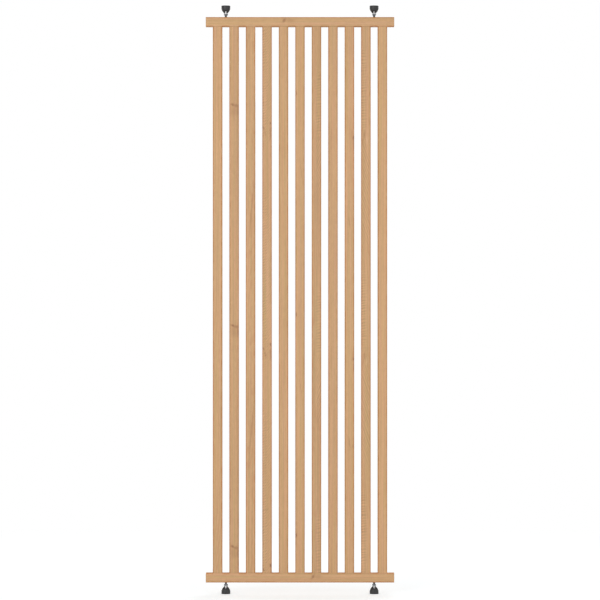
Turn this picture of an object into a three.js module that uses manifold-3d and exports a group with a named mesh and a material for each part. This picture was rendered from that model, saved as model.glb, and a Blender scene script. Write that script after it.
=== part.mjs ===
// Slatted privacy screen, clamped between a floor and a ceiling by four ball-jointed screw feet.
// Millimetres, +Z up. The rails run along X and the front faces -Y.
// The origin is on the floor, midway between the two floor pads.

import * as THREE from 'three';
import { mergeVertices } from 'three/addons/utils/BufferGeometryUtils.js';
import Module from 'manifold-3d';

const wasm = await Module();
wasm.setup();

// The screen as a whole
const overallHeight = 2500;
const screenWidth = 800;
const slatCount = 11;
const slatPitch = 70;
const play = 0.3; // between pieces that touch

// Timber: one square section for slats and rails, with eased edges
const stock = 40;
const arris = 2;
const tenonSide = 24; // stub tenon, which stops a slat from turning on its screw
const tenonLength = 8;
const tenonBevel = 1.5;

// Countersunk wood screws, one through the rail into each end of each slat
const screwRadius = 2.5;
const screwLength = 80;
const screwTip = 9;
const headRadius = 4.8;
const headRim = 0.5;
const headSunk = 1; // below the rail's outer face
const driveOuter = 2.2; // six-lobed socket in the head
const driveInner = 1.5;
const driveDepth = 2;

// Feet, measured from the face of the pad, which is on the floor or the ceiling, towards the rail
const footReach = 50; // pad face to rail
const footOffset = 4.5 * slatPitch; // from the middle of the screen, midway between two slats
const padRadius = 19;
const padFoot = 0.8; // bevel round the pad's lower edge
const drumTop = 15.8; // height of the drum, with a bevelled rim
const drumBevel = 1.2;
const domeRadius = 17.6; // the dome starts just inside the rim
const domePull = [17.2, 20.5]; // radius and height that the dome's curve leaves its base towards
const neckPull = [13.2, 26.5]; // and comes to the neck from
const neckRadius = 8.6;
const neckBase = 30.2;
const neckTop = 32.6;
const neckBevel = 0.9;
const soleRadius = 16.2;
const soleThickness = 3.2;
const soleBevel = 0.6;
const soleProud = 0.3; // beyond the shell's rim

const ballRadius = 6.5;
const ballHeight = 24.2;
const lipRadius = 5.3; // narrowest part of the socket's mouth, which keeps the ball in
const lipLand = 0.8;
const mouthRadius = 6.3;
const slotWidth = 9; // front and back slots, in which the shank swings
const slotFloor = 25;
const slotCorner = 1.6;

const shankRadius = 4;
const collarBase = 34.9;
const collarTop = 41.2;
const collarFlats = 16;
const collarSlope = 0.55; // rise over run of the turned bevels on the hexagon's corners
const studRadius = 4.9; // M10
const studEnd = 77;
const studBevel = 1.1;

// Angle at which each spindle stands after the screen was set up, in degrees
const spindleTurn = { bottom_left: 19, bottom_right: 4, top_left: -7, top_right: 2 };

// Threaded inserts, screwed into the rails until their flanges are flush with the timber
const insertRadius = 7;
const insertLength = 25;
const flangeRadius = 9.5;
const flangeThickness = 1.6;
const insertBevel = 0.6;
const boreDepth = 37; // leaves room for the stud when the foot is screwed right in

// Facets round each turned piece
const padFacets = 24;
const spindleFacets = 16;
const insertFacets = 16;
const screwFacets = 8;

const finish = {
  timber: { color: 0xcba47b, roughness: 0.55, metalness: 0 },
  screw: { color: 0xb9a56a, roughness: 0.35, metalness: 1 },
  pad: { color: 0x1c1c1d, roughness: 0.45, metalness: 0 },
  sole: { color: 0x111111, roughness: 0.9, metalness: 0 },
  spindle: { color: 0xc4c6c8, roughness: 0.25, metalness: 1 },
  insert: { color: 0xa8a7a0, roughness: 0.4, metalness: 1 },
};

function piece(name, geometry, look) {
  const mesh = new THREE.Mesh(geometry, new THREE.MeshStandardMaterial(look));
  mesh.name = name;
  return mesh;
}

// Closed mesh to solid. Shared corners are merged, and the empty faces at a revolve's poles dropped
function toSolid(geometry) {
  const bare = geometry.clone();
  bare.deleteAttribute('normal');
  bare.deleteAttribute('uv');
  const merged = mergeVertices(bare, 1e-4);
  const corners = merged.index.array;
  const kept = [];
  for (let i = 0; i < corners.length; i += 3) {
    const [a, b, c] = [corners[i], corners[i + 1], corners[i + 2]];
    if (a !== b && b !== c && c !== a) kept.push(a, b, c);
  }
  return new wasm.Manifold(new wasm.Mesh({
    numProp: 3,
    vertProperties: Float32Array.from(merged.attributes.position.array),
    triVerts: Uint32Array.from(kept),
  }));
}

function toGeometry(solid) {
  const mesh = solid.getMesh();
  const geometry = new THREE.BufferGeometry();
  geometry.setAttribute('position', new THREE.BufferAttribute(mesh.vertProperties, mesh.numProp));
  geometry.setIndex(new THREE.BufferAttribute(mesh.triVerts, 1));
  geometry.computeVertexNormals();
  return geometry;
}

// Outline of (radius, height) turned about Z. It runs anticlockwise, from the lowest point on the axis
function turned(path, facets, steps = 4) {
  return new THREE.LatheGeometry(path.getPoints(steps), facets).rotateX(Math.PI / 2);
}

function outline(...points) {
  const path = new THREE.Path();
  path.moveTo(...points[0]);
  for (const point of points.slice(1)) path.lineTo(...point);
  return path;
}

function roundedSquare(side, radius) {
  const c = side / 2 - radius;
  const shape = new THREE.Shape();
  shape.absarc(c, c, radius, 0, Math.PI / 2);
  shape.absarc(-c, c, radius, Math.PI / 2, Math.PI);
  shape.absarc(-c, -c, radius, Math.PI, 1.5 * Math.PI);
  shape.absarc(c, -c, radius, 1.5 * Math.PI, 2 * Math.PI);
  return shape;
}

function square(side) {
  const h = side / 2;
  return new THREE.Shape([[h, h], [-h, h], [-h, -h], [h, -h]].map(([x, y]) => new THREE.Vector2(x, y)));
}

// Turns what is made at the floor over to the ceiling
function upended(geometry) {
  return geometry.rotateX(Math.PI).translate(0, 0, overallHeight);
}

// ---- Wood screws ----

// Outline of a screw whose head is at z = 0, or with a margin, of the hole that it goes in
function screwOutline(margin = 0) {
  const shank = screwRadius + margin;
  const head = headRadius + margin;
  const mouth = margin ? -2 * headSunk : 0; // a hole runs out past the face of the rail
  return outline(
    [0, mouth],
    [head, mouth],
    [head, headRim],
    [shank, headRim + headRadius - screwRadius],
    [shank, screwLength - screwTip + margin],
    [0, screwLength + margin],
  );
}

function screwGeometry() {
  const star = new THREE.Shape();
  for (let i = 0; i < 12; i++) {
    const angle = (i * Math.PI) / 6;
    const r = i % 2 ? driveInner : driveOuter;
    star[i ? 'lineTo' : 'moveTo'](r * Math.cos(angle), r * Math.sin(angle));
  }
  const drive = new THREE.ExtrudeGeometry(star, { depth: driveDepth + 1, bevelEnabled: false });
  const screw = toSolid(turned(screwOutline(), screwFacets));
  return toGeometry(screw.subtract(toSolid(drive.translate(0, 0, -1))));
}

// Screws go in square to the rail from its outer face, heads just under the surface
const screwStart = footReach + headSunk;

function screwHole() {
  return turned(screwOutline(play), screwFacets).translate(0, 0, screwStart);
}

// ---- Timber ----

const slatPlaces = Array.from({ length: slatCount }, (_, i) => (i - (slatCount - 1) / 2) * slatPitch);
const slatStart = footReach + stock + play; // the shoulder of a slat, on the inner face of its rail

// Length of timber along +Z from z = 0, its ends eased too where they show
function bar(length, ease) {
  return new THREE.ExtrudeGeometry(roundedSquare(stock - 2 * ease, arris - ease), {
    depth: length - 2 * ease,
    curveSegments: 1,
    bevelEnabled: ease > 0,
    bevelThickness: ease,
    bevelSize: ease,
    bevelSegments: 1,
  }).translate(0, 0, ease);
}

// Stub tenon below a slat's shoulder, rooted in the slat
function tenon() {
  const root = 4;
  return new THREE.ExtrudeGeometry(square(tenonSide - 2 * tenonBevel), {
    depth: tenonLength + root - 2 * tenonBevel,
    bevelThickness: tenonBevel,
    bevelSize: tenonBevel,
    bevelSegments: 1,
  }).translate(0, 0, slatStart - tenonLength + tenonBevel);
}

function mortise() {
  const side = tenonSide + 2 * play;
  const depth = tenonLength + 1; // 1 mm past the rail's face
  return new THREE.BoxGeometry(side, side, depth)
    .translate(0, 0, footReach + stock - tenonLength + depth / 2);
}

function slatGeometry() {
  let slat = toSolid(bar(overallHeight - 2 * slatStart, 0).translate(0, 0, slatStart));
  slat = slat.add(toSolid(tenon())).add(toSolid(upended(tenon())));
  slat = slat.subtract(toSolid(screwHole())).subtract(toSolid(upended(screwHole())));
  return toGeometry(slat);
}

// Stepped hole for an insert's flange, its sleeve, and the stud beyond it
function insertHole() {
  return turned(outline(
    [0, footReach - 1],
    [flangeRadius + play, footReach - 1],
    [flangeRadius + play, footReach + flangeThickness + play],
    [insertRadius + play, footReach + flangeThickness + play],
    [insertRadius + play, footReach + insertLength + play],
    [studRadius + 2 * play, footReach + insertLength + play],
    [studRadius + 2 * play, footReach + boreDepth],
    [0, footReach + boreDepth],
  ), insertFacets);
}

// Rail at the floor end, a hole and a mortise for each slat and a bore for each foot
function railGeometry() {
  const length = bar(screenWidth, 1).translate(0, 0, -screenWidth / 2).rotateY(Math.PI / 2);
  let rail = toSolid(length.translate(0, 0, footReach + stock / 2));
  for (const x of slatPlaces) {
    rail = rail.subtract(toSolid(mortise().translate(x, 0, 0)));
    rail = rail.subtract(toSolid(screwHole().translate(x, 0, 0)));
  }
  for (const x of [-footOffset, footOffset]) {
    rail = rail.subtract(toSolid(insertHole().translate(x, 0, 0)));
  }
  return toGeometry(rail);
}

// ---- Feet ----

// Moulded pad: drum, dome and neck outside, recess for the sole below
function padBlank() {
  const recess = soleRadius + play;
  const path = new THREE.Path();
  path.moveTo(0, soleThickness + play);
  path.lineTo(recess, soleThickness + play);
  path.lineTo(recess, soleProud);
  path.lineTo(padRadius - padFoot, soleProud);
  path.lineTo(padRadius, soleProud + padFoot);
  path.lineTo(padRadius, drumTop - drumBevel);
  path.lineTo(padRadius - drumBevel, drumTop);
  path.lineTo(domeRadius, drumTop);
  path.bezierCurveTo(...domePull, ...neckPull, neckRadius, neckBase);
  path.lineTo(neckRadius, neckTop - neckBevel);
  path.lineTo(neckRadius - neckBevel, neckTop);
  path.lineTo(0, neckTop);
  return turned(path, padFacets, 5);
}

// Socket for the ball, its mouth drawn in to a lip and flared again above it
function socketCutter() {
  const radius = ballRadius + play;
  const lipAngle = Math.acos(lipRadius / radius);
  const path = new THREE.Path();
  path.absarc(0, ballHeight, radius, -Math.PI / 2, lipAngle);
  path.lineTo(lipRadius, ballHeight + radius * Math.sin(lipAngle) + lipLand);
  path.lineTo(mouthRadius, neckTop);
  path.lineTo(mouthRadius, neckTop + 1);
  path.lineTo(0, neckTop + 1);
  return turned(path, padFacets, 3);
}

function padGeometry() {
  const pad = toSolid(padBlank()).subtract(toSolid(socketCutter()));
  return toGeometry(pad.subtract(toSolid(slotCutter())));
}

// One cutter for the slot at the front of the neck and the one at the back
function slotCutter() {
  const half = slotWidth / 2;
  const top = neckTop + 1;
  const shape = new THREE.Shape();
  shape.moveTo(half, top);
  shape.lineTo(-half, top);
  shape.lineTo(-half, slotFloor + slotCorner);
  shape.absarc(-half + slotCorner, slotFloor + slotCorner, slotCorner, Math.PI, 1.5 * Math.PI);
  shape.absarc(half - slotCorner, slotFloor + slotCorner, slotCorner, 1.5 * Math.PI, 2 * Math.PI);
  return new THREE.ExtrudeGeometry(shape, { depth: 2 * padRadius, curveSegments: 2, bevelEnabled: false })
    .translate(0, 0, -padRadius)
    .rotateX(Math.PI / 2);
}

function soleGeometry() {
  return turned(outline(
    [0, 0],
    [soleRadius - soleBevel, 0],
    [soleRadius, soleBevel],
    [soleRadius, soleThickness],
    [0, soleThickness],
  ), padFacets);
}

// Ball, shank, spanner collar and stud, turned from one bar of hexagon steel
function spindleGeometry() {
  const shankAngle = Math.acos(shankRadius / ballRadius);
  const path = new THREE.Path();
  path.absarc(0, ballHeight, ballRadius, -Math.PI / 2, shankAngle);
  path.lineTo(shankRadius, collarBase + 1);
  path.lineTo(studRadius, collarBase + 2); // inside the collar
  path.lineTo(studRadius, studEnd - studBevel);
  path.lineTo(studRadius - studBevel, studEnd);
  path.lineTo(0, studEnd);
  return toGeometry(toSolid(turned(path, spindleFacets, 3)).add(collar()));
}

// Hexagon with its corners turned back at both ends
function collar() {
  const across = collarFlats / 2;
  const corner = across / Math.cos(Math.PI / 6);
  const bevel = (corner - across) * collarSlope;
  const height = collarTop - collarBase;
  const hexagon = new THREE.CylinderGeometry(corner, corner, height, 6)
    .rotateX(Math.PI / 2)
    .translate(0, 0, collarBase + height / 2);
  const turning = turned(outline(
    [0, collarBase],
    [across, collarBase],
    [corner + 0.2, collarBase + bevel],
    [corner + 0.2, collarTop - bevel],
    [across, collarTop],
    [0, collarTop],
  ), 1.5 * spindleFacets);
  return toSolid(hexagon).intersect(toSolid(turning));
}

function insertGeometry() {
  const bore = studRadius + play;
  const top = footReach + insertLength;
  return turned(outline(
    [bore + insertBevel, footReach],
    [flangeRadius, footReach],
    [flangeRadius, footReach + flangeThickness],
    [insertRadius, footReach + flangeThickness],
    [insertRadius, top],
    [bore, top],
    [bore, footReach + insertBevel],
    [bore + insertBevel, footReach],
  ), insertFacets);
}

// ---- Assembly ----

const screw = screwGeometry().translate(0, 0, screwStart);
const rail = railGeometry();
const slat = slatGeometry();
const footPieces = {
  pad: padGeometry(),
  sole: soleGeometry(),
  spindle: spindleGeometry(),
  insert: insertGeometry(),
};

function foot(place) {
  const group = new THREE.Group();
  for (const [name, geometry] of Object.entries(footPieces)) {
    group.add(piece(`${place}_foot_${name}`, geometry, finish[name]));
  }
  const spindle = group.children.find((mesh) => mesh.name.endsWith('spindle'));
  spindle.rotation.z = THREE.MathUtils.degToRad(spindleTurn[place]);
  return group;
}

// Rail, screws and feet of one end, standing on the floor
function railEnd(end) {
  const group = new THREE.Group();
  group.add(piece(`${end}_rail`, rail, finish.timber));
  slatPlaces.forEach((x, i) => {
    const mesh = piece(`${end}_screw_${String(i + 1).padStart(2, '0')}`, screw, finish.screw);
    mesh.position.x = x;
    group.add(mesh);
  });
  for (const [side, x] of [['left', -footOffset], ['right', footOffset]]) {
    const one = foot(`${end}_${side}`);
    one.position.x = x;
    group.add(one);
  }
  return group;
}

const screen = new THREE.Group();
screen.add(railEnd('bottom'));

const ceilingEnd = railEnd('top');
ceilingEnd.rotation.x = Math.PI;
ceilingEnd.position.z = overallHeight;
screen.add(ceilingEnd);

slatPlaces.forEach((x, i) => {
  const mesh = piece(`slat_${String(i + 1).padStart(2, '0')}`, slat, finish.timber);
  mesh.position.x = x;
  screen.add(mesh);
});

export default screen;
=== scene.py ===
import math

import bmesh
import bpy
from mathutils import Color, Matrix, Vector
from mathutils.geometry import interpolate_bezier


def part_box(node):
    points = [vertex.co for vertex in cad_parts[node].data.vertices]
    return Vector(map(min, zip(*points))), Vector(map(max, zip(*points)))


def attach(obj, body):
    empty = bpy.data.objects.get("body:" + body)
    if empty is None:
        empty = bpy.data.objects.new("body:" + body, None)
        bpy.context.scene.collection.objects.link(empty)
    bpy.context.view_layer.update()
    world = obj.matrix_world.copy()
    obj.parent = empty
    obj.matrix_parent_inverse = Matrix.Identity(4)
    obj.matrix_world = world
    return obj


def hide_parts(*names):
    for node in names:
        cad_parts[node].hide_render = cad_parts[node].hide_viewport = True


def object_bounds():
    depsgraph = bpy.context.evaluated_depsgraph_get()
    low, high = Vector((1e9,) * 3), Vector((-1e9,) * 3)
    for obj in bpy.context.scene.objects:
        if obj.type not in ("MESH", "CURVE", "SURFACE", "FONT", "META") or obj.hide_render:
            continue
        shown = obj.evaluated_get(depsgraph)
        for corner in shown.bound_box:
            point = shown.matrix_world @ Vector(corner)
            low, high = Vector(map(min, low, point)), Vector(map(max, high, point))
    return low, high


# Slatted timber divider, clamped between floor and ceiling by four ball-jointed screw feet.
# The scene is in metres. Settings beside each piece are in millimetres, as on a workshop drawing.

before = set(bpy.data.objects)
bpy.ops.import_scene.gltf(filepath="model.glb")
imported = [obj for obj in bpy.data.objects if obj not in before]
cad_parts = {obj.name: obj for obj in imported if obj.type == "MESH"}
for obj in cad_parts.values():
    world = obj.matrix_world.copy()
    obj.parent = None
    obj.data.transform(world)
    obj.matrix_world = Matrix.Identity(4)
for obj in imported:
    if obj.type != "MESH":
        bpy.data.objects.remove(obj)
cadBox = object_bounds()
mm = 0.001
overallHeight = cadBox[1].z
print("frame loaded:", len(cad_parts), "nodes")


# Camera, straight on to the front at mid height

cameraSettings = {
    "distance": 12.5,  # metres, from the front face of the timber
    "frameWidth": 2.5465,  # metres of that face across the picture
    "height": 1.2492,  # metres
    "sensor": 36,  # millimetres
}


def placeCamera():
    data = bpy.data.cameras.new("camera")
    data.sensor_width = cameraSettings["sensor"]
    data.lens = cameraSettings["sensor"] * cameraSettings["distance"] / cameraSettings["frameWidth"]
    camera = bpy.data.objects.new("camera", data)
    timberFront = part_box("slat_06")[0].y
    camera.location = (0, timberFront - cameraSettings["distance"], cameraSettings["height"])
    camera.rotation_euler = (math.pi / 2, 0, 0)
    bpy.context.scene.collection.objects.link(camera)
    bpy.context.scene.camera = camera


placeCamera()
print("camera placed")


# Node tools, shared by every material

def srgb(red, green, blue):
    return (*Color((red / 255, green / 255, blue / 255)).from_srgb_to_scene_linear(), 1)


class Nodes:
    def __init__(self, tree):
        self.tree = tree
        tree.nodes.clear()

    def add(self, kind, inputs=None, **settings):
        node = self.tree.nodes.new("ShaderNode" + kind)
        for name, value in settings.items():
            setattr(node, name, value)
        for key, value in (inputs or {}).items():
            if isinstance(value, bpy.types.NodeSocket):
                self.tree.links.new(value, node.inputs[key])
            else:
                node.inputs[key].default_value = value
        return node

    def calc(self, operation, *values):
        return self.add("Math", dict(enumerate(values)), operation=operation).outputs[0]

    def vector(self, operation, *values):
        node = self.add("VectorMath", dict(enumerate(values)), operation=operation)
        return node.outputs["Value" if operation == "LENGTH" else "Vector"]

    def ramp(self, value, start, end, low=0.0, high=1.0, smooth=True):
        inputs = {"Value": value, "From Min": start, "From Max": end, "To Min": low, "To Max": high}
        kind = "SMOOTHSTEP" if smooth else "LINEAR"
        return self.add("MapRange", inputs, interpolation_type=kind).outputs["Result"]

    def noise(self, place, scale, detail=2.0, roughness=0.5, output="Fac"):
        inputs = {"Vector": place, "Scale": scale, "Detail": detail, "Roughness": roughness}
        return self.add("TexNoise", inputs).outputs[output]

    def mix(self, factor, first, second, blend="MIX"):
        node = self.add("Mix", data_type="RGBA", blend_type=blend)
        for index, value in ((0, factor), (6, first), (7, second)):  # a Mix node's sockets for colours
            if isinstance(value, bpy.types.NodeSocket):
                self.tree.links.new(value, node.inputs[index])
            else:
                node.inputs[index].default_value = value
        return node.outputs[2]

    def finish(self, shader):
        self.add("OutputMaterial", {"Surface": shader})


def newMaterial(name):
    material = bpy.data.materials.new(name)
    material.use_nodes = True
    return material, Nodes(material.node_tree)


# Shape tools, shared by every piece

cutterPast = 1  # how far a cutter reaches past the face it cuts
skin = 0.05  # how far a thread's surfaces are kept off those it is crossed or joined with


def block(low, high, bm=None):
    bm = bm or bmesh.new()
    size = Vector(high) - Vector(low)
    middle = (Vector(high) + Vector(low)) / 2
    bmesh.ops.create_cube(bm, size=1, matrix=Matrix.LocRotScale(middle, None, size))
    return bm


def ease(bm, edges, width, steps):
    bmesh.ops.bevel(
        bm, geom=edges, offset=width * mm, offset_type="OFFSET", affect="EDGES",
        segments=steps, profile=0.5, material=-1,
    )


def arc(radius, start, end, steps, middle=(0, 0)):
    points = []
    for i in range(steps + 1):
        angle = math.radians(start + (end - start) * i / steps)
        points.append((middle[0] + radius * math.cos(angle), middle[1] + radius * math.sin(angle)))
    return points


# Corners are (radius, height), with a third number where the corner is rounded off
def rounded(corners, steps=4):
    points = []
    for i, (radius, height, *fillet) in enumerate(corners):
        here = Vector((radius, height))
        if not fillet:
            points.append(tuple(here))
            continue
        back = (Vector(corners[i - 1][:2]) - here).normalized()
        ahead = (Vector(corners[i + 1][:2]) - here).normalized()
        half = back.angle(ahead) / 2
        centre = here + (back + ahead).normalized() * fillet[0] / math.sin(half)
        start = here + back * fillet[0] / math.tan(half) - centre
        end = here + ahead * fillet[0] / math.tan(half) - centre
        for step in range(steps + 1):
            turn = start.normalized().slerp(end.normalized(), step / steps)
            points.append(tuple(centre + turn * fillet[0]))
    return points


# Outline of (radius, height) turned about Z. A climb in one turn makes a thread of it
def turned(outline, steps, climb=0.0):
    bm = bmesh.new()
    verts = [bm.verts.new((radius * mm, 0, height * mm)) for radius, height in outline]
    edges = [bm.edges.new(pair) for pair in zip(verts, verts[1:])]
    bmesh.ops.spin(
        bm, geom=verts + edges, cent=(0, 0, 0), axis=(0, 0, 1), dvec=(0, 0, climb * mm / steps),
        angle=2 * math.pi, steps=steps, use_merge=not climb,
    )
    bmesh.ops.remove_doubles(bm, verts=bm.verts, dist=0.001 * mm)
    bmesh.ops.recalc_face_normals(bm, faces=bm.faces)
    return bm


# Solid thread. Its toothed outline climbs one pitch in a turn, so each tooth meets the next.
# It has two turns to spare below its start and one above its end, for what it is crossed with.
def threaded(root, crest, pitch, start, end, steps):
    tooth = [(root, 0), (crest, 0.32 * pitch), (crest, 0.44 * pitch), (root, 0.76 * pitch)]
    lowest = start - 2 * pitch
    outline = [(0, lowest)]
    count = math.ceil((end - start) / pitch) + 3
    for i in range(count):
        outline += [(radius, lowest + i * pitch + rise) for radius, rise in tooth]
    highest = lowest + count * pitch
    outline += [(root, highest), (0, highest)]
    bm = turned(outline, steps, climb=pitch)
    bm.transform(Matrix.Rotation(0.05, 4, "Z"))  # clear of the other shapes' corners
    bmesh.ops.holes_fill(bm, edges=[edge for edge in bm.edges if edge.is_boundary])
    bmesh.ops.recalc_face_normals(bm, faces=bm.faces)
    return bm


def cornerRadius(flats):
    return flats / 2 / math.cos(math.pi / 6)


# Hexagonal bar, by its width across the flats
def hexagon(flats, low, high):
    bm, radius = bmesh.new(), cornerRadius(flats) * mm
    bmesh.ops.create_cone(
        bm, cap_ends=True, segments=6, radius1=radius, radius2=radius, depth=(high - low) * mm,
        matrix=Matrix.Translation((0, 0, (low + high) / 2 * mm)),
    )
    return bm


def looseObject(bm):
    mesh = bpy.data.meshes.new("loose")
    bm.to_mesh(mesh)
    bm.free()
    piece = bpy.data.objects.new("loose", mesh)
    bpy.context.scene.collection.objects.link(piece)
    return piece


# Joins, cuts or crosses two closed shapes, and uses both up
def combined(bm, tool, operation):
    target, other = looseObject(bm), looseObject(tool)
    modifier = target.modifiers.new("combine", "BOOLEAN")
    modifier.operation = operation
    modifier.object = other
    modifier.solver = "EXACT"
    shaped = target.evaluated_get(bpy.context.evaluated_depsgraph_get())
    result = bmesh.new()
    result.from_mesh(shaped.to_mesh())
    shaped.to_mesh_clear()
    for used in (target, other):
        mesh = used.data
        bpy.data.objects.remove(used)
        bpy.data.meshes.remove(mesh)
    return result


# Pieces are made at the floor, and turned over to the ceiling
bothEnds = {
    "bottom": Matrix(),
    "top": Matrix.Translation((0, 0, overallHeight)) @ Matrix.Rotation(math.pi, 4, "X"),
}


# Puts a finished shape in place as its own piece, in the stead of a CAD node
def addPiece(name, bm, place, material, body, node, sharpest=32):
    bm = bm.copy()
    bm.transform(place)
    bmesh.ops.recalc_face_normals(bm, faces=bm.faces)
    for face in bm.faces:
        face.smooth = True
    for edge in bm.edges:
        edge.smooth = edge.is_manifold and edge.calc_face_angle(0) < math.radians(sharpest)
    mesh = bpy.data.meshes.new(name)
    bm.to_mesh(mesh)
    bm.free()
    mesh.materials.append(material)
    piece = bpy.data.objects.new(name, mesh)
    bpy.context.scene.collection.objects.link(piece)
    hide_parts(node)
    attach(piece, body)
    return piece


# Timber: pale, fine-grained and lightly oiled

timberLook = {
    "warm": (209, 165, 124),  # the pinker streaks
    "cool": (199, 163, 117),  # and the greener ones between them
    "yellower": (1, 1, 0.95, 1),  # tints that are multiplied over the streaks
    "bluer": (1, 1, 1.05, 1),
    "lateWood": (186, 132, 90),
    "knot": (146, 98, 66),
    "pale": (232, 196, 156),
    "arris": (0.81, 0.58, 0.37, 1),  # share of the colour that is left along the arrises, darkened by oil and by painted edge shade
    "arrisReach": 6.2,
    "arrisFade": 3.2,
    "halfSide": 20,  # from a board's middle to its faces
    "boardsApart": (37, 11, 190),  # from one board's place in the tree to the next one's
    "pithWander": 46,
    "ringWidth": 3.6,
    "ringWaver": 2.4,  # in rings
    "ringDepth": 0.42,
    "streakDepth": 0.42,
    "mottleDepth": 0.16,
    "fibreDepth": 0.22,
    "poreDepth": 0.24,
    "lightest": 1.04,
    "markDepth": 14,
    "markBend": (9, 0, 9),  # how far a mark's outline is bent, and then frayed
    "markFray": (4, 0, 5),
    "figureLength": 938,  # the figure comes round again after this length
    "relief": 0.12,
    "roughness": (0.46, 0.62),  # of late wood, and of the wood between
    "specular": 0.35,
}

# One entry for each slat, left to right. Heights are from the floor, and angles from level.
# pith: (across, depth) of the tree's middle, from the board's
# marks: (across, height, half length, half width, angle, strength), where a strength below 0 is paler
# ripples: (height, reach, side, slope, spacing, strength), with side -1 left, 1 right and 0 both
slatGrain = [
    {"tone": 1.01, "pith": (-60, 150), "marks": [(4, 1250, 260, 2, 90, 0.06)]},
    {"tone": 0.97, "pith": (110, 90), "marks": [
        (-6, 1141, 11, 7, -28, 0.76), (10, 1136, 13, 9, -10, 0.5), (0, 1112, 30, 22, 90, 0.22),
        (16, 1114, 28, 5, 90, 0.4)]},
    {"tone": 0.985, "pith": (20, 120), "marks": [
        (2, 1607, 170, 4.5, 85, 0.26), (9, 1680, 110, 3, 85, 0.16), (-7, 1900, 130, 5, 84, -0.1)]},
    {"tone": 0.975, "pith": (-150, 60), "marks": [
        (-16, 1043, 10, 5, -60, 0.75), (-8, 1020, 18, 5, -80, 0.36), (14.6, 1061, 9, 5, 90, 0.95),
        (15, 1018, 38, 4.5, 90, 0.48)],
        "ripples": [(1361, 460, -1, 0.3, 11.7, 0.17), (1361, 480, 0, 1.3, 12.6, 0.13)]},
    {"tone": 1, "pith": (130, 140), "marks": [
        (-9, 1690, 110, 3, 96, -0.14), (2, 1900, 120, 9, 90, 0.1)]},
    {"tone": 1.018, "pith": (70, 70), "marks": [
        (-15.5, 1188, 12, 4, 90, 0.65), (5, 1800, 95, 2.6, 98, 0.2)]},
    {"tone": 0.937, "pith": (-40, 80), "marks": [
        (0, 1700, 70, 15, 90, 0.1), (-9, 2040, 80, 8, 90, -0.14)],
        "ripples": [(1806, 190, 1, 2.8, 24, 0.22), (2080, 170, 1, 0.2, 13, 0.2)]},
    {"tone": 0.99, "pith": (200, 60), "marks": [
        (-8, 1930, 90, 7, 87, 0.1), (-6, 1760, 60, 5, 88, 0.08)]},
    {"tone": 1.013, "pith": (-90, 110), "marks": [
        (17, 1000, 9, 4, 90, 0.6), (17, 972, 40, 3.5, 90, 0.4), (12, 1015, 32, 4, 92, 0.18),
        (-7, 1500, 300, 2.5, 90, 0.12), (0, 1580, 34, 4, -80, 0.3), (15, 1567, 10, 4, 90, 0.35)]},
    {"tone": 0.973, "pith": (40, 60), "marks": [
        (-7, 1012, 22, 4, 87, 0.44), (-13, 985, 22, 4, 80, 0.26), (3, 988, 22, 4, 90, -0.4),
        (-8, 1500, 300, 2.5, 90, 0.1)],
        "ripples": [(1710, 270, 0, -2.9, 26, 0.2), (2140, 210, -1, 0.1, 12, 0.24)]},
    {"tone": 1.03, "pith": (160, 100), "marks": [(-17, 1200, 500, 4, 90, 0.1)]},
]

# On a rail, a mark's across is below 0 towards the top, its height is how far right of the middle it is,
# and its angle is from upright. inner is the side where the slats meet the rail
railGrain = {
    "bottom": {"tone": 1.05, "seed": 14, "pith": (60, 70), "inner": -1, "marks": [
        (-6, 55, 15, 7, -32, 0.66), (-6, 76, 26, 12, 90, 0.24)]},
    "top": {"tone": 1.033, "seed": 17, "pith": (-80, 110), "inner": 1, "marks": [
        (-6, -67, 15, 8, -32, 0.7), (-6, -42, 24, 12, 90, 0.24)]},
}


# A board's own texture space: millimetres from its middle, with its length along Z.
# datum is the height of a slat's middle. A rail has none, because no figure comes round again in it.
class Board:
    def __init__(self, nodes, place, seed, datum):
        self.nodes = nodes
        self.datum = datum
        where = nodes.add("TexCoord").outputs["Object"]
        self.local = nodes.add("Mapping", {"Vector": where, **place}).outputs["Vector"]
        self.across, self.depth, self.along = nodes.add("SeparateXYZ", {"Vector": self.local}).outputs
        apart = tuple(seed * step for step in timberLook["boardsApart"])
        self.shifted = nodes.vector("ADD", self.local, apart)

    # Noise that is drawn out along the grain. across and along say how close together its spots are
    def drawnOut(self, across, along, detail, roughness=0.5, output="Fac"):
        stretched = self.nodes.vector("MULTIPLY", self.shifted, (across, across, along))
        return self.nodes.noise(stretched, 1, detail, roughness, output)

    # An uneven shift of a place, by up to half of reach
    def stray(self, across, along, detail, reach):
        noise = self.drawnOut(across, along, detail, output="Color")
        return self.nodes.vector("MULTIPLY", self.nodes.vector("SUBTRACT", noise, (0.5,) * 3), reach)

    # How far a place is above a mark, or above the nearest of its repeats
    def above(self, height, along):
        offset = self.nodes.calc("SUBTRACT", along, height - self.datum)
        if not self.datum:
            return offset
        figure = timberLook["figureLength"]
        return self.nodes.calc("WRAP", offset, figure / 2, -figure / 2)


# Growth rings about a pith that wanders along the tree. Gives the place in a ring and the late wood
def growthRings(board, pith):
    nodes, wander = board.nodes, timberLook["pithWander"]
    wandered = nodes.vector("ADD", board.local, board.stray(0.004, 0.0022, 1, (wander, wander, 0)))
    fromPith = nodes.vector("SUBTRACT", wandered, (*pith, 0))
    fromPith = nodes.vector("LENGTH", nodes.vector("MULTIPLY", fromPith, (1, 1, 0)))
    waver = board.drawnOut(0.05, 0.006, 2)
    turns = nodes.calc("DIVIDE", fromPith, timberLook["ringWidth"])
    place = nodes.calc("FRACT", nodes.calc("MULTIPLY_ADD", waver, timberLook["ringWaver"], turns))
    late = nodes.calc("MULTIPLY", nodes.ramp(place, 0.3, 0.92), nodes.ramp(place, 1.0, 0.95))
    return place, late


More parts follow.
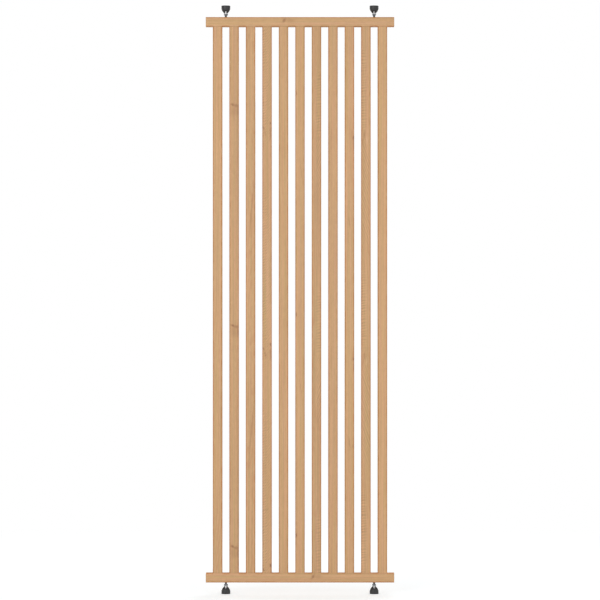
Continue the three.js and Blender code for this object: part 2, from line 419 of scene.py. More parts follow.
# Where the fibres wave towards the front they show as dark lines, with paler wood between
def rippleShade(board, ripple):
    nodes, across, depth, along = board.nodes, board.across, board.depth, board.along
    height, reach, side, slope, spacing, strength = ripple
    patch = nodes.ramp(nodes.calc("ABSOLUTE", board.above(height, along)), reach, reach * 0.55)
    if side:
        sideways = nodes.ramp(nodes.calc("MULTIPLY", across, side), -12, 14)
    else:
        sideways = nodes.ramp(nodes.calc("ABSOLUTE", across), 24, 8)
    patch = nodes.calc("MULTIPLY", patch, sideways)
    patch = nodes.calc("MULTIPLY", patch, nodes.ramp(depth, 4, -19, 0.1, 1))  # fades towards the back
    level = nodes.calc("MULTIPLY_ADD", across, -slope, along)
    halved = [nodes.calc("MULTIPLY", value, 0.5) for value in (across, depth)]
    tilted = nodes.add("CombineXYZ", {"X": halved[0], "Y": halved[1], "Z": level}).outputs[0]
    unscaled = 2 * math.pi / 20  # a wave texture's own spacing
    wave = nodes.add("TexWave", {
        "Vector": tilted, "Scale": unscaled / spacing,
        "Distortion": 4.5, "Detail": 2, "Detail Scale": 1.2,
    }, wave_type="BANDS", bands_direction="Z").outputs["Fac"]
    line = nodes.calc("SUBTRACT", 0.4, nodes.ramp(wave, 0.8, 0.1))
    uneven = nodes.noise(nodes.add("CombineXYZ", {"X": across, "Z": along}).outputs[0], 0.035, detail=2)
    patch = nodes.calc("MULTIPLY", patch, nodes.ramp(uneven, 0.3, 0.62, 0.25, 1.15))
    return nodes.calc("MULTIPLY", nodes.calc("MULTIPLY", line, patch), strength)


# Knots and smudges, strongest in the front face. stir ruffles their outlines and fleck breaks them up
def addMark(board, colour, stir, fleck, mark):
    nodes = board.nodes
    middle, height, halfLength, halfWidth, angle, strength = mark
    x, y, z = nodes.add("SeparateXYZ", {"Vector": nodes.vector("ADD", board.local, stir)}).outputs
    spot = nodes.add("CombineXYZ", {
        "X": nodes.calc("SUBTRACT", x, middle),
        "Y": nodes.calc("ADD", y, timberLook["halfSide"]),
        "Z": board.above(height, z),
    }).outputs[0]
    leaning = {"Vector": spot, "Rotation": (0, math.radians(angle), 0)}
    spot = nodes.add("Mapping", leaning).outputs["Vector"]
    spot = nodes.vector("MULTIPLY", spot, (1 / halfLength, 1 / timberLook["markDepth"], 1 / halfWidth))
    amount = nodes.ramp(nodes.vector("LENGTH", spot), 1.2, 0.1, 0, abs(strength))
    amount = nodes.calc("MULTIPLY", amount, fleck)
    return nodes.mix(amount, colour, srgb(*timberLook["knot" if strength > 0 else "pale"]))


# Arrises and cut ends are darkened unevenly by oil taken up, and the arrises also by painted shade along
# their rounding, but not where slats meet a rail's inner side
def arrisOilAndShade(board, inner, cutEnd):
    nodes, half = board.nodes, timberLook["halfSide"]
    rubAndPaintedLight = board.drawnOut(0.3, 0.03, 3)
    sides = nodes.calc("ADD", nodes.calc("ABSOLUTE", board.across), nodes.calc("ABSOLUTE", board.depth))
    start = 2 * half - timberLook["arrisReach"]
    reach = nodes.ramp(rubAndPaintedLight, 0.3, 0.7, start, start + 2)
    edge = nodes.ramp(sides, reach, nodes.calc("ADD", reach, timberLook["arrisFade"]))
    if inner:
        pitch = (slatPlaces[1] - slatPlaces[0]) / mm
        fromSlat = nodes.calc("ABSOLUTE", nodes.calc("WRAP", board.along, pitch / 2, -pitch / 2))
        between = nodes.ramp(nodes.calc("MULTIPLY_ADD", rubAndPaintedLight, 8, fromSlat), half, half + 7)
        clear = nodes.ramp(nodes.calc("MULTIPLY", board.across, inner), 4, -4)
        edge = nodes.calc("MULTIPLY", edge, nodes.calc("MAXIMUM", clear, between))
    if cutEnd:
        end = nodes.ramp(nodes.calc("ABSOLUTE", board.along), cutEnd - 2, cutEnd - 0.2, 0, 0.75)
        edge = nodes.calc("MAXIMUM", edge, end)
    return edge


# Streaks of two tones, yellower and bluer by turns, with the late wood of the rings over them
def grainColour(board, late):
    nodes = board.nodes
    streak = nodes.ramp(board.drawnOut(0.16, 0.002, 3), 0.36, 0.64)
    colour = nodes.mix(streak, srgb(*timberLook["warm"]), srgb(*timberLook["cool"]))
    drift = nodes.ramp(board.drawnOut(0.24, 0.0013, 2), 0.35, 0.65)
    tint = nodes.mix(drift, timberLook["yellower"], timberLook["bluer"])
    colour = nodes.mix(1, colour, tint, "MULTIPLY")
    strong = nodes.ramp(board.drawnOut(0.06, 0.004, 1), 0.3, 0.65, 0.3, 1)
    amount = nodes.calc("MULTIPLY", nodes.calc("MULTIPLY", late, strong), timberLook["ringDepth"])
    return nodes.mix(amount, colour, srgb(*timberLook["lateWood"]))


# How light each place is, from its pores, streaks, mottle, fibres and ripples
def grainShade(board, grain, pore, fibre):
    nodes = board.nodes
    shade = nodes.calc("MULTIPLY_ADD", pore, -timberLook["poreDepth"], timberLook["lightest"])
    layers = {
        "streakDepth": board.drawnOut(0.34, 0.0016, 2),
        "mottleDepth": board.drawnOut(0.13, 0.05, 2),
        "fibreDepth": fibre,
    }
    for depthName, layer in layers.items():
        swing = nodes.calc("SUBTRACT", layer, 0.5)
        shade = nodes.calc("MULTIPLY_ADD", swing, timberLook[depthName], shade)
    for ripple in grain.get("ripples", []):
        shade = nodes.calc("ADD", shade, rippleShade(board, ripple))
    shade = nodes.calc("MULTIPLY", shade, grain["tone"])
    return nodes.add("CombineColor", {0: shade, 1: shade, 2: shade}).outputs[0]


# place brings the piece's middle to nought and its length upright, in millimetres
def timberMaterial(name, grain, place, seed, datum=0, cutEnd=0):
    material, nodes = newMaterial(name)
    board = Board(nodes, place, seed, datum)
    ringPlace, late = growthRings(board, grain["pith"])
    fibre = board.drawnOut(1.9, 0.03, 3, 0.6)
    grit = nodes.ramp(board.drawnOut(5.2, 0.2, 1), 0.6, 0.7)
    pore = nodes.calc("MULTIPLY", grit, nodes.ramp(ringPlace, 0.9, 0.4, 0.25, 1))
    shade = grainShade(board, grain, pore, fibre)
    colour = nodes.mix(1, grainColour(board, late), shade, "MULTIPLY")

    bend = board.stray(0.16, 0.05, 2, timberLook["markBend"])
    stir = nodes.vector("ADD", bend, board.stray(0.9, 0.5, 2, timberLook["markFray"]))
    fleck = nodes.ramp(fibre, 0.3, 0.7, 0.6, 1.4)
    for mark in grain["marks"]:
        colour = addMark(board, colour, stir, fleck, mark)
    wearAndPaintedLight = arrisOilAndShade(board, grain.get("inner", 0), cutEnd)
    # Painted shade and oil: the arrises and cut ends are darkened over the grain colour
    colour = nodes.mix(wearAndPaintedLight, colour, nodes.mix(1, colour, timberLook["arris"], "MULTIPLY"))

    low, high = timberLook["roughness"]
    roughness = nodes.calc("MULTIPLY_ADD", late, low - high, high)
    roughness = nodes.calc("MULTIPLY_ADD", fibre, 0.1, roughness)
    relief = nodes.calc("MULTIPLY_ADD", pore, -1, nodes.calc("MULTIPLY", fibre, 0.5))
    relief = nodes.calc("MULTIPLY_ADD", late, 0.25, relief)
    bump = nodes.add("Bump", {"Height": relief, "Strength": 0.5, "Distance": timberLook["relief"] * mm})
    shader = nodes.add("BsdfPrincipled", {
        "Base Color": colour, "Roughness": roughness, "Normal": bump.outputs["Normal"],
        "Specular IOR Level": timberLook["specular"],
    })
    nodes.finish(shader.outputs["BSDF"])
    return material


# Black moulded plastic, rubber and plated steel

footLook = {
    "plastic": (30, 30, 31),
    "plasticScuff": (66, 66, 67),
    "plasticRoughness": (0.36, 0.6),  # clean, and scuffed
    "rubber": (30, 30, 30),
    "rubberDust": (74, 72, 69),
    "rubberRoughness": (0.74, 0.92),  # clean, and dusty
    # rubbed plating; on the spindle's darker collar it is lighter, a painted highlight
    "rubbedSteelAndHighlight": (158, 157, 154),
}

# Roughness is that of the brightest and of the dullest places
platings = {
    "screw": {"colour": (196, 170, 104), "roughness": (0.26, 0.4)},
    "insert": {"colour": (180, 178, 168), "roughness": (0.3, 0.48)},
    "spindle": {"colour": (244, 244, 245), "aboveShank": (112, 114, 117), "roughness": (0.34, 0.5)},
}

footOffset = 315  # from the middle of the screen to the axis of each foot


# Radius from the nearest axis and height from the nearer of floor and ceiling, in millimetres,
# so that one material fits all four feet, and another all the screws
def fromAxis(nodes, ofScrews=False):
    where = nodes.add("TexCoord").outputs["Object"]
    x, y, z = nodes.add("SeparateXYZ", {"Vector": where}).outputs
    half = overallHeight / 2
    height = nodes.calc("SUBTRACT", half, nodes.calc("ABSOLUTE", nodes.calc("SUBTRACT", z, half)))
    if ofScrews:
        pitch = slatPlaces[1] - slatPlaces[0]
        side = nodes.calc("WRAP", x, pitch / 2, -pitch / 2)
    else:
        side = nodes.calc("SUBTRACT", nodes.calc("ABSOLUTE", x), footOffset * mm)
    radius = nodes.vector("LENGTH", nodes.add("CombineXYZ", {"X": side, "Y": y}).outputs[0])
    return where, [nodes.calc("MULTIPLY", value, 1 / mm) for value in (radius, height)]


def plasticMaterial():
    material, nodes = newMaterial("mouldedPlastic")
    where, (radius, height) = fromAxis(nodes)
    clean, scuffed = footLook["plasticRoughness"]
    grain = nodes.noise(where, 5200, detail=2)
    cloud = nodes.noise(where, 160, detail=3)
    outside = nodes.ramp(radius, padShape["radius"] - 1.6, padShape["radius"] - 0.4)
    rim = nodes.calc("MULTIPLY", nodes.ramp(height, 3.2, 1.2), outside)
    scratch = nodes.noise(nodes.vector("MULTIPLY", where, (1, 1, 9)), 420, detail=4, roughness=0.7)
    scuff = nodes.calc("MULTIPLY", rim, nodes.ramp(scratch, 0.48, 0.66))
    haze = nodes.ramp(cloud, 0.35, 0.75, 0, 0.18)
    amount = nodes.calc("MAXIMUM", scuff, haze)
    colour = nodes.mix(amount, srgb(*footLook["plastic"]), srgb(*footLook["plasticScuff"]))
    roughness = nodes.calc("MULTIPLY_ADD", cloud, 0.16, nodes.ramp(scuff, 0, 1, clean, scuffed))
    bump = nodes.add("Bump", {"Height": grain, "Strength": 0.35, "Distance": 0.05 * mm})
    shader = nodes.add("BsdfPrincipled", {
        "Base Color": colour, "Roughness": roughness, "Normal": bump.outputs["Normal"],
    })
    nodes.finish(shader.outputs["BSDF"])
    return material


def rubberMaterial():
    material, nodes = newMaterial("soleRubber")
    where, (radius, height) = fromAxis(nodes)
    grain = nodes.noise(where, 3600, detail=3)
    specks = nodes.ramp(nodes.noise(where, 900, detail=4, roughness=0.7), 0.5, 0.75, 0, 0.5)
    outside = nodes.ramp(radius, soleShape["radius"] - 1, soleShape["radius"] - 0.2)
    rim = nodes.calc("MULTIPLY", outside, nodes.ramp(height, 1.2, 0.2))
    rimDust = nodes.calc("MULTIPLY", rim, nodes.ramp(grain, 0.4, 0.6, 0, 0.6))
    dust = nodes.calc("MAXIMUM", specks, rimDust)
    colour = nodes.mix(dust, srgb(*footLook["rubber"]), srgb(*footLook["rubberDust"]))
    bump = nodes.add("Bump", {"Height": grain, "Strength": 0.5, "Distance": 0.08 * mm})
    shader = nodes.add("BsdfPrincipled", {
        "Base Color": colour, "Roughness": nodes.ramp(dust, 0, 0.5, *footLook["rubberRoughness"]),
        "Normal": bump.outputs["Normal"], "Specular IOR Level": 0.3,
    })
    nodes.finish(shader.outputs["BSDF"])
    return material


# Plated metal, with the fine rings that turning leaves. Near its rim the plating is rubbed through to
# steel; on the spindle's dark collar that steel is lighter, a painted highlight
def platedMaterial(part, rimRadius):
    plating = platings[part]
    material, nodes = newMaterial(f"{part}Steel")
    where, (radius, height) = fromAxis(nodes, ofScrews=part == "screw")
    turning = nodes.noise(nodes.add("CombineXYZ", {"X": radius, "Z": height}).outputs[0], 7, detail=2)
    cloud = nodes.noise(where, 240, detail=3)
    dull = nodes.ramp(cloud, 0.42, 0.7)
    bright = srgb(*plating["colour"])
    if "aboveShank" in plating:
        aboveShank = nodes.ramp(height, spindleShape["collarBase"] - 0.1, spindleShape["collarBase"])
        bright = nodes.mix(aboveShank, bright, srgb(*plating["aboveShank"]))
    colour = nodes.mix(dull, bright, nodes.mix(1, bright, (0.8, 0.8, 0.8, 1), "MULTIPLY"))
    # Near the rim: rubbed plating, and on the collar's corners a painted highlight in a lighter grey
    patchy = nodes.ramp(nodes.noise(where, 1300, detail=3), 0.4, 0.6)
    rubAndPaintedLight = nodes.calc("MULTIPLY", patchy, nodes.ramp(radius, rimRadius - 0.7, rimRadius))
    colour = nodes.mix(rubAndPaintedLight, colour, srgb(*footLook["rubbedSteelAndHighlight"]))
    wearAndPaintedLight = nodes.calc("MAXIMUM", dull, rubAndPaintedLight)
    roughness = nodes.ramp(wearAndPaintedLight, 0, 1, *plating["roughness"])
    roughness = nodes.calc("MULTIPLY_ADD", turning, 0.12, roughness)
    bump = nodes.add("Bump", {"Height": turning, "Strength": 0.25, "Distance": 0.02 * mm})
    shader = nodes.add("BsdfPrincipled", {
        "Base Color": colour, "Roughness": roughness, "Metallic": 1.0, "Normal": bump.outputs["Normal"],
    })
    nodes.finish(shader.outputs["BSDF"])
    return material


# Wood screws, countersunk, with a six-lobed socket and a coarse thread

screwShape = {
    "length": 80,
    "headRadius": 4.8,
    "headRim": 0.5,
    "rimRound": 0.15,
    "headSunk": 1,
    "shankRadius": 1.9,
    "neckRound": 1.5,
    "holeRadius": 2.8,
    "threadRadius": 2.5,
    "coreRadius": 1.6,
    "threadStart": 31,
    "threadGap": 0.2,  # from the start of the core to that of the thread
    "threadRise": 4,  # length over which the thread comes to its full height
    "threadPoint": (0.3, 0.4),  # its last radius, and how far that is from the screw's point
    "pitch": 2.5,
    "tip": 9,
    "socketRadius": 1.85,
    "socketLobe": 0.35,
    "socketDepth": 2,
    "play": 0.3,
}


# The thread rises from the core, and runs down to the point
def screwThread():
    size = screwShape
    core, start, end = size["coreRadius"], size["threadStart"], size["length"]
    thread = threaded(core - skin, size["threadRadius"], size["pitch"], start, end, steps=16)
    crest = size["threadRadius"] + skin
    pointRadius, pointGap = size["threadPoint"]
    sheath = turned([
        (0, start + size["threadGap"]),
        (core, start + size["threadGap"]),
        (crest, start + size["threadRise"]),
        (crest, end - size["tip"]),
        (pointRadius, end - pointGap),
        (0, end - pointGap),
    ], steps=24)
    return combined(thread, sheath, "INTERSECT")


def driverSocket():
    size = screwShape
    socket, depth = bmesh.new(), size["socketDepth"]
    bmesh.ops.create_cone(
        socket, cap_ends=True, segments=36, radius1=1, radius2=1, depth=(depth + cutterPast) * mm,
        matrix=Matrix.Translation((0, 0, (depth - cutterPast) / 2 * mm)),
    )
    for vert in socket.verts:
        lobes = math.cos(6 * math.atan2(vert.co.y, vert.co.x))
        radius = (size["socketRadius"] + size["socketLobe"] * lobes) * mm
        vert.co.xy = vert.co.xy.normalized() * radius
    return socket


def makeScrew():
    size = screwShape
    shank, core, end = size["shankRadius"], size["coreRadius"], size["length"]
    body = turned(rounded([
        (0, 0),
        (size["headRadius"], 0, size["rimRound"]),
        (size["headRadius"], size["headRim"], size["rimRound"]),
        (shank, size["headRim"] + size["headRadius"] - shank, size["neckRound"]),
        (shank, size["threadStart"] - 1),
        (core, size["threadStart"]),
        (core, end - size["tip"]),
        (0, end),
    ]), steps=24)
    screw = combined(body, screwThread(), "UNION")
    return combined(screw, driverSocket(), "DIFFERENCE")


# Clearance hole for a screw, from below the outer face of the floor rail
def screwHole(bottom):
    size = screwShape
    head, shank, below = size["headRadius"] + size["play"], size["holeRadius"], -2 * size["headSunk"]
    hole = turned([
        (0, below),
        (head, below),
        (head, size["headRim"]),
        (shank, size["headRim"] + head - size["threadRadius"]),
        (shank, size["length"] - size["tip"] + size["play"]),
        (0, size["length"] + size["play"]),
    ], steps=32)
    hole.transform(Matrix.Translation((0, 0, bottom + size["headSunk"] * mm)))
    return hole


# Slats and rails, square timber with sanded arrises

timberShape = {
    "arris": 2,
    "arrisSteps": 4,
    "endEase": 1,
    "endSteps": 3,
    "tenonSide": 24,
    "tenonLength": 8,
    "tenonBevel": 1.5,
    "play": 0.3,
}

railLow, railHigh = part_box("bottom_rail")
slatNodes = sorted(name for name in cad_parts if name.startswith("slat_"))
slatPlaces = [sum(corner.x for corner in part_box(node)) / 2 for node in slatNodes]
footPlaces = [side * footOffset * mm for side in (-1, 1)]


def easeArrises(bm):
    longest = max(edge.calc_length() for edge in bm.edges)
    arrises = [edge for edge in bm.edges if edge.calc_length() > longest / 2]
    ease(bm, arrises, timberShape["arris"], timberShape["arrisSteps"])


def makeSlat():
    low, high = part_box("slat_06")
    tenon = timberShape["tenonLength"] * mm
    bm = block((low.x, low.y, low.z + tenon), (high.x, high.y, high.z - tenon))
    ends = [face for face in bm.faces if abs(face.normal.z) > 0.9]
    shoulder = (high.x - low.x - timberShape["tenonSide"] * mm) / 2
    bmesh.ops.inset_individual(bm, faces=ends, thickness=shoulder)
    for face in bmesh.ops.extrude_discrete_faces(bm, faces=ends)["faces"]:
        bmesh.ops.translate(bm, verts=face.verts, vec=face.normal * tenon)
        ease(bm, list(face.edges), timberShape["tenonBevel"], steps=1)
    easeArrises(bm)
    for turn in bothEnds.values():
        hole = screwHole(railLow.z)
        hole.transform(turn)
        bm = combined(bm, hole, "DIFFERENCE")
    return bm


def makeRail():
    bm = block(railLow, railHigh)
    easeArrises(bm)
    ends = [face for face in bm.faces if abs(face.normal.x) > 0.9]
    endEdges = [edge for face in ends for edge in face.edges]
    ease(bm, endEdges, timberShape["endEase"], timberShape["endSteps"])
    half = (timberShape["tenonSide"] / 2 + timberShape["play"]) * mm
    floor, past = railHigh.z - timberShape["tenonLength"] * mm, railHigh.z + cutterPast * mm
    mortises, holes = bmesh.new(), bmesh.new()
    for x in slatPlaces:
        block((x - half, -half, floor), (x + half, half, past), mortises)
        addTo(holes, screwHole(railLow.z), x)
    for x in footPlaces:
        addTo(holes, insertHole(), x)
    return combined(combined(bm, mortises, "DIFFERENCE"), holes, "DIFFERENCE")


def addTo(bm, other, x):
    other.transform(Matrix.Translation((x, 0, 0)))
    mesh = bpy.data.meshes.new("loose")
    other.to_mesh(mesh)
    other.free()
    bm.from_mesh(mesh)
    bpy.data.meshes.remove(mesh)


# Threaded inserts: flanged sleeves with a knife thread outside and a hexagon for the key

insertShape = {
    "radius": 7,
    "rootRadius": 6,
    "pitch": 3,
    "threadSunk": 0.5,  # into the flange
    "threadRunOut": 3,
    "length": 25,
    "flangeRadius": 9.5,
    "flangeThickness": 1.6,
    "flangeRound": 0.3,
    "boreRadius": 5.2,
    "boreThread": 0.35,
    "borePitch": 1.5,
    "keyFlats": 10.6,
    "keyDepth": 6,
    "mouthBevel": 0.9,
    "play": 0.3,
    "holeDepth": 37,
}


def insertHole():
    size = insertShape
    face = railLow.z / mm
    outside, end = face - cutterPast, face + size["length"] + size["play"]
    step = face + size["flangeThickness"] + size["play"]
    flange, sleeve = size["flangeRadius"] + size["play"], size["radius"] + size["play"]
    stud = spindleShape["studRadius"] + 2 * size["play"]
    return turned([
        (0, outside),
        (flange, outside),
        (flange, step),
        (sleeve, step),
        (sleeve, end),
        (stud, end),
        (stud, face + size["holeDepth"]),
        (0, face + size["holeDepth"]),
    ], steps=48)


def makeInsert():
    size = insertShape
    face, bore, bevel = railLow.z / mm, size["boreRadius"], size["mouthBevel"]
    top = face + size["length"]
    flangeTop = face + size["flangeThickness"]
    thread = threaded(size["rootRadius"], size["radius"], size["pitch"], flangeTop, top, steps=32)
    crest, sunk = size["radius"] + skin, flangeTop - size["threadSunk"]
    sheath = turned([
        (0, sunk),
        (crest, sunk),
        (crest, top - size["threadRunOut"]),
        (size["rootRadius"] - 2 * skin, top),
        (0, top),
    ], steps=48)
    flange = turned(rounded([
        (0, face),
        (size["flangeRadius"], face, size["flangeRound"]),
        (size["flangeRadius"], flangeTop, size["flangeRound"]),
        (0, flangeTop),
    ]), steps=64)
    insert = combined(flange, combined(thread, sheath, "INTERSECT"), "UNION")
    tap = threaded(bore, bore + size["boreThread"], size["borePitch"], face, top, steps=32)
    insert = combined(insert, tap, "DIFFERENCE")
    key = hexagon(size["keyFlats"], face - size["keyDepth"], face + size["keyDepth"])
    insert = combined(insert, key, "DIFFERENCE")
    lead = turned([
        (0, face - cutterPast),
        (bore + bevel + cutterPast, face - cutterPast),
        (bore, face + bevel),
        (0, face + bevel),
    ], steps=48)
    return combined(insert, lead, "DIFFERENCE")


# Spindles: ball and shank, spanner collar and M10 stud

spindleShape = {
    "ballRadius": 6.5,
    "ballHeight": 24.2,
    "shankRadius": 4,
    "shankRound": 0.8,
    "collarBase": 34.9,
    "collarTop": 41.2,
    "collarFlats": 16,
    "collarSlope": 0.55,
    "studRadius": 4.9,
    "threadDepth": 0.9,
    "pitch": 1.5,
    "reliefRadius": 4.1,
    "reliefLength": 1.6,
    "threadFull": 2.6,  # above the collar
    "studEnd": 77,
    "studBevel": 1.1,
    "turn": {"bottom_left": 19, "bottom_right": 4, "top_left": -7, "top_right": 2},  # degrees
}


# Hexagonal bar with its corners chamfered by turning
def makeCollar():
    size = spindleShape
    flat, corner = size["collarFlats"] / 2, cornerRadius(size["collarFlats"])
    low, high = size["collarBase"], size["collarTop"]
    bevel = (corner - flat) * size["collarSlope"]
    margin = 0.2  # the bevel starts this far within the flats, and ends as far beyond the corners
    blank = turned([
        (0, low), (flat - margin, low), (corner + margin, low + bevel),
        (corner + margin, high - bevel), (flat - margin, high), (0, high),
    ], steps=96)
    return combined(hexagon(size["collarFlats"], low, high), blank, "INTERSECT")


def makeSpindle():
    size = spindleShape
    ballRadius, shankRadius, studRadius = size["ballRadius"], size["shankRadius"], size["studRadius"]
    base, top, end = size["collarBase"], size["collarTop"], size["studEnd"]
    neck = math.degrees(math.acos(shankRadius / ballRadius))
    ball = arc(ballRadius, -90, neck, steps=24, middle=(0, size["ballHeight"]))
    inside = 2  # how far the shank spreads and reaches within the collar
    shank = rounded([
        (shankRadius, base - 3),  # on the straight of the shank
        (shankRadius, base, size["shankRound"]),
        (shankRadius + inside, base),
        (shankRadius + inside, base + inside),
        (0, base + inside),
    ])
    spindle = combined(turned(ball + shank, steps=64), makeCollar(), "UNION")
    root = studRadius - size["threadDepth"]
    thread = threaded(root, studRadius, size["pitch"], top, end, steps=40)
    blank = turned([
        (0, top - inside / 2),
        (size["reliefRadius"], top - inside / 2),
        (size["reliefRadius"], top + size["reliefLength"]),
        (studRadius, top + size["threadFull"]),
        (studRadius + 0.02, end - size["studBevel"]),  # just clear of the crests
        (studRadius - size["studBevel"], end),
        (0, end),
    ], steps=64)
    return combined(spindle, combined(thread, blank, "INTERSECT"), "UNION")


# Pads: a moulded drum and dome, with a slotted neck that the ball snaps into

padShape = {
    "radius": 19,
    "footRound": 0.8,
    "drumTop": 15.8,
    "drumRound": 1.3,
    "domeRadius": 17.6,
    "domePull": (17.2, 20.5),
    "neckPull": (13.2, 26.5),
    "neckRadius": 8.6,
    "neckBase": 30.2,
    "neckTop": 32.6,
    "neckRound": 0.8,
    "lipRadius": 5.3,
    "lipLand": 0.8,
    "lipRound": 0.3,
    "mouthRadius": 6.3,
    "mouthFlare": (0.6, 0.4),
    "slotWidth": 9,
    "slotFloor": 25,
    "slotCorner": 1.6,
    "recessRound": 0.3,
    "play": 0.3,
}

soleShape = {
    "radius": 16.2,
    "thickness": 3.2,
    "bevel": 0.6,
    "proud": 0.3,
    "grooves": (4.5, 8.5, 12.5),
    "grooveWidth": 1.4,
    "grooveDepth": 0.6,
    "grooveSlope": 0.1,
    "grooveRound": 0.2,
}


def makePad():
    size = padShape
    recess = soleShape["radius"] + size["play"]
    roof = soleShape["thickness"] + size["play"]
    rim = rounded([
        (0, roof),
        (recess, roof, size["recessRound"]),
        (recess, soleShape["proud"]),
        (size["radius"], soleShape["proud"], size["footRound"]),
        (size["radius"], size["drumTop"], size["drumRound"]),
        (size["domeRadius"], size["drumTop"]),
    ], steps=5)
    start, end = (size["domeRadius"], size["drumTop"]), (size["neckRadius"], size["neckBase"])
    dome = interpolate_bezier(start, size["domePull"], size["neckPull"], end, 28)
    neck = rounded([
        (size["neckRadius"], size["neckBase"]),
        (size["neckRadius"], size["neckTop"], size["neckRound"]),
        (0, size["neckTop"]),
    ], steps=5)
    curve = [tuple(point) for point in dome[1:]]
    pad = combined(turned(rim + curve + neck[1:], steps=96), socketCutter(), "DIFFERENCE")
    return combined(pad, slotCutter(), "DIFFERENCE")


# Cuts the ball's socket and, above its lip, the mouth that lets the shank swing
def socketCutter():
    size = padShape
    radius = spindleShape["ballRadius"] + size["play"]
    lipAngle = math.degrees(math.acos(size["lipRadius"] / radius))
    ball = arc(radius, -90, lipAngle, steps=20, middle=(0, spindleShape["ballHeight"]))
    lipHeight, past = ball[-1][1], size["neckTop"] + cutterPast
    flare, rise = size["mouthFlare"]
    mouth = rounded([
        (size["lipRadius"], lipHeight),
        (size["lipRadius"], lipHeight + size["lipLand"], size["lipRound"]),
        (size["mouthRadius"], size["neckTop"], size["lipRound"]),
        (size["mouthRadius"] + flare, size["neckTop"] + rise),
        (size["mouthRadius"] + flare, past),
        (0, past),
    ])
    return turned(ball + mouth[1:], steps=96)


# One cutter for the slots in the front and the back of the neck
def slotCutter():
    size = padShape
    half, reach, near = size["slotWidth"] / 2 * mm, size["radius"] * mm, 0.1 * mm
    floor, past = size["slotFloor"] * mm, (size["neckTop"] + 2 * cutterPast) * mm
    cutter = block((-half, -reach, floor), (half, reach, past))
    lower = [
        edge for edge in cutter.edges
        if all(vert.co.z < floor + near for vert in edge.verts)
        and abs(edge.verts[0].co.x - edge.verts[1].co.x) < near
    ]
    ease(cutter, lower, size["slotCorner"], steps=6)
    return cutter


def makeSole():
    size = soleShape
    radius, thickness, halfWidth = size["radius"], size["thickness"], size["grooveWidth"] / 2
    slope, depth, softness = size["grooveSlope"], size["grooveDepth"], size["grooveRound"]
    corners = [(0, 0)]
    for middle in size["grooves"]:
        inner, outer = middle - halfWidth, middle + halfWidth
        corners += [
            (inner, 0, softness), (inner + slope, depth, softness),
            (outer - slope, depth, softness), (outer, 0, softness),
        ]
    corners += [(radius, 0, size["bevel"]), (radius, thickness), (0, thickness)]
    return turned(rounded(corners, steps=3), steps=96)


# Timber goes in

def addTimber():
    slat = makeSlat()
    toMillimetres = {"Scale": (1 / mm,) * 3}
    half = overallHeight / 2 / mm
    for i, (node, x) in enumerate(zip(slatNodes, slatPlaces)):
        number = i + 1
        place = {**toMillimetres, "Location": (-x / mm, 0, -half)}
        material = timberMaterial(f"slatTimber{number:02d}", slatGrain[i], place, number, datum=half)
        addPiece(
            f"slat{number:02d}", slat, Matrix.Translation((x, 0, 0)), material, "frame", node
        )
    slat.free()

    rail = makeRail()
    lying = {**toMillimetres, "Rotation": (0, -math.pi / 2, 0)}
    for end, turn in bothEnds.items():
        low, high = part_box(f"{end}_rail")
        grain = railGrain[end]
        place = {**lying, "Location": ((low.z + high.z) / 2 / mm, 0, 0)}
        material = timberMaterial(f"{end}RailTimber", grain, place, grain["seed"], cutEnd=high.x / mm)
        addPiece(f"{end}Rail", rail, turn, material, "frame", f"{end}_rail")
    rail.free()


addTimber()
print("timber made")


# Screws and feet go in

def addFixings():
    screw = makeScrew()
    screwSteel = platedMaterial("screw", screwShape["headRadius"])
    start = Matrix.Translation((0, 0, railLow.z + screwShape["headSunk"] * mm))
    for end, turn in bothEnds.items():
        for i, x in enumerate(slatPlaces):
            place = turn @ Matrix.Translation((x, 0, 0)) @ start
            number = f"{i + 1:02d}"
            addPiece(
                f"{end}Screw{number}", screw, place, screwSteel, "frame", f"{end}_screw_{number}",
            )
    screw.free()


def addFeet():
    shapes = {"insert": makeInsert(), "spindle": makeSpindle(), "pad": makePad(), "sole": makeSole()}
    materials = {
        "insert": platedMaterial("insert", insertShape["flangeRadius"]),
        "spindle": platedMaterial("spindle", cornerRadius(spindleShape["collarFlats"])),
        "pad": plasticMaterial(),
        "sole": rubberMaterial(),
    }
    for end, turn in bothEnds.items():
        for side, x in zip(("left", "right"), footPlaces):
            foot = f"{end}_{side}"
            bodies = {
                "insert": "frame",
                "spindle": f"{foot}_spindle",
                "pad": f"{foot}_pad",
                "sole": f"{foot}_pad",
            }
            for part, shape in shapes.items():
                place = turn @ Matrix.Translation((x, 0, 0))
                if part == "spindle":
                    place = place @ Matrix.Rotation(math.radians(spindleShape["turn"][foot]), 4, "Z")
                name = f"{end}{side.capitalize()}{part.capitalize()}"
                addPiece(
                    name, shape, place, materials[part], bodies[part], f"{foot}_foot_{part}"
                )
    for shape in shapes.values():
        shape.free()


addFixings()
addFeet()
print("fixings and feet made")


# Floor and light, in metres and watts

roomSettings = {
    "ambient": 0.62,
    "floorGrey": 0.8,
    "floorLift": (0.392, 0.422, 0.434),  # cool, against the warm light from the wood
    "fadeFrom": 1.3,  # from the middle, where the floor goes over to plain white
    "fadeTo": 3.6,
    "floorSize": 80,
}

lampSettings = {
    "key": {"at": (-3.2, -6, 1.8), "size": 3.2, "watts": 126},
    "fill": {"at": (3.6, -5.4, 1.1), "size": 3.2, "watts": 64},
    "back": {"at": (1.5, 5.5, 3.4), "size": 3.2, "watts": 90},
}


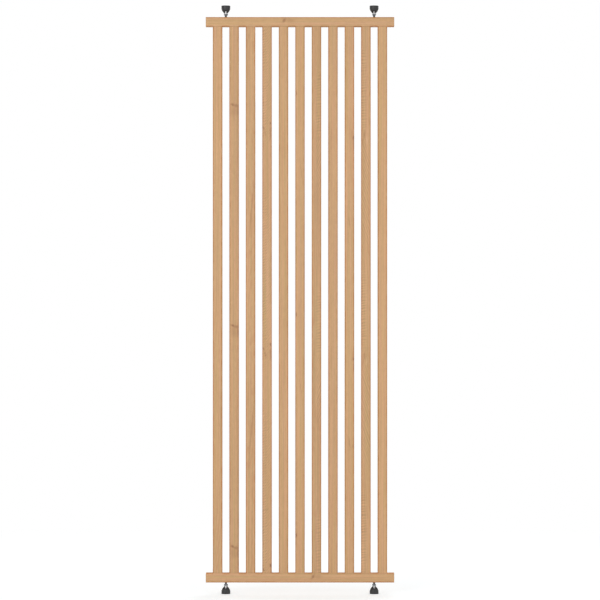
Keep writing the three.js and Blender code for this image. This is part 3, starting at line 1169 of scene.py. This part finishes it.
# 1 for rays that come to the camera straight, by a reflection or through glass
def seenDirectly(nodes):
    rays = nodes.add("LightPath").outputs
    seen = nodes.calc("MAXIMUM", rays["Is Camera Ray"], rays["Is Glossy Ray"])
    return nodes.calc("MAXIMUM", seen, rays["Is Transmission Ray"])


def makeBackground():
    world = bpy.data.worlds.new("room")
    bpy.context.scene.world = world
    world.use_nodes = True
    nodes = Nodes(world.node_tree)
    strength = nodes.ramp(seenDirectly(nodes), 0, 1, roomSettings["ambient"], 1, smooth=False)
    background = nodes.add("Background", {"Color": (1, 1, 1, 1), "Strength": strength})
    nodes.add("OutputWorld", {"Surface": background.outputs["Background"]})


def makeFloor():
    bm = bmesh.new()
    bmesh.ops.create_grid(bm, x_segments=1, y_segments=1, size=roomSettings["floorSize"] / 2)
    floor = looseObject(bm)
    floor.name = "floor"
    material, nodes = newMaterial("paleFloor")
    where = nodes.add("TexCoord").outputs["Object"]
    seen = seenDirectly(nodes)
    far = nodes.ramp(nodes.vector("LENGTH", where), roomSettings["fadeFrom"], roomSettings["fadeTo"])
    grey = roomSettings["floorGrey"]
    diffuse = nodes.add("BsdfDiffuse", {"Color": (grey, grey, grey, 1)}).outputs[0]
    lift = nodes.add("Emission", {"Color": (*roomSettings["floorLift"], 1), "Strength": seen})
    lifted = nodes.add("AddShader", {0: diffuse, 1: lift.outputs[0]}).outputs[0]
    white = nodes.add("Emission", {"Strength": 1.0}).outputs[0]
    share = nodes.calc("MULTIPLY", far, seen)
    nodes.finish(nodes.add("MixShader", {0: share, 1: lifted, 2: white}).outputs[0])
    floor.data.materials.append(material)


def hangLamps():
    target = Vector((0, 0, overallHeight / 2))
    for name, lamp in lampSettings.items():
        data = bpy.data.lights.new(name, "AREA")
        data.size = lamp["size"]
        data.energy = lamp["watts"]
        light = bpy.data.objects.new(name, data)
        light.location = lamp["at"]
        light.rotation_euler = (target - Vector(lamp["at"])).to_track_quat("-Z", "Y").to_euler()
        light.visible_camera = False
        bpy.context.scene.collection.objects.link(light)


makeBackground()
makeFloor()
hangLamps()
bpy.context.scene.view_settings.view_transform = "Standard"
print("room lit")
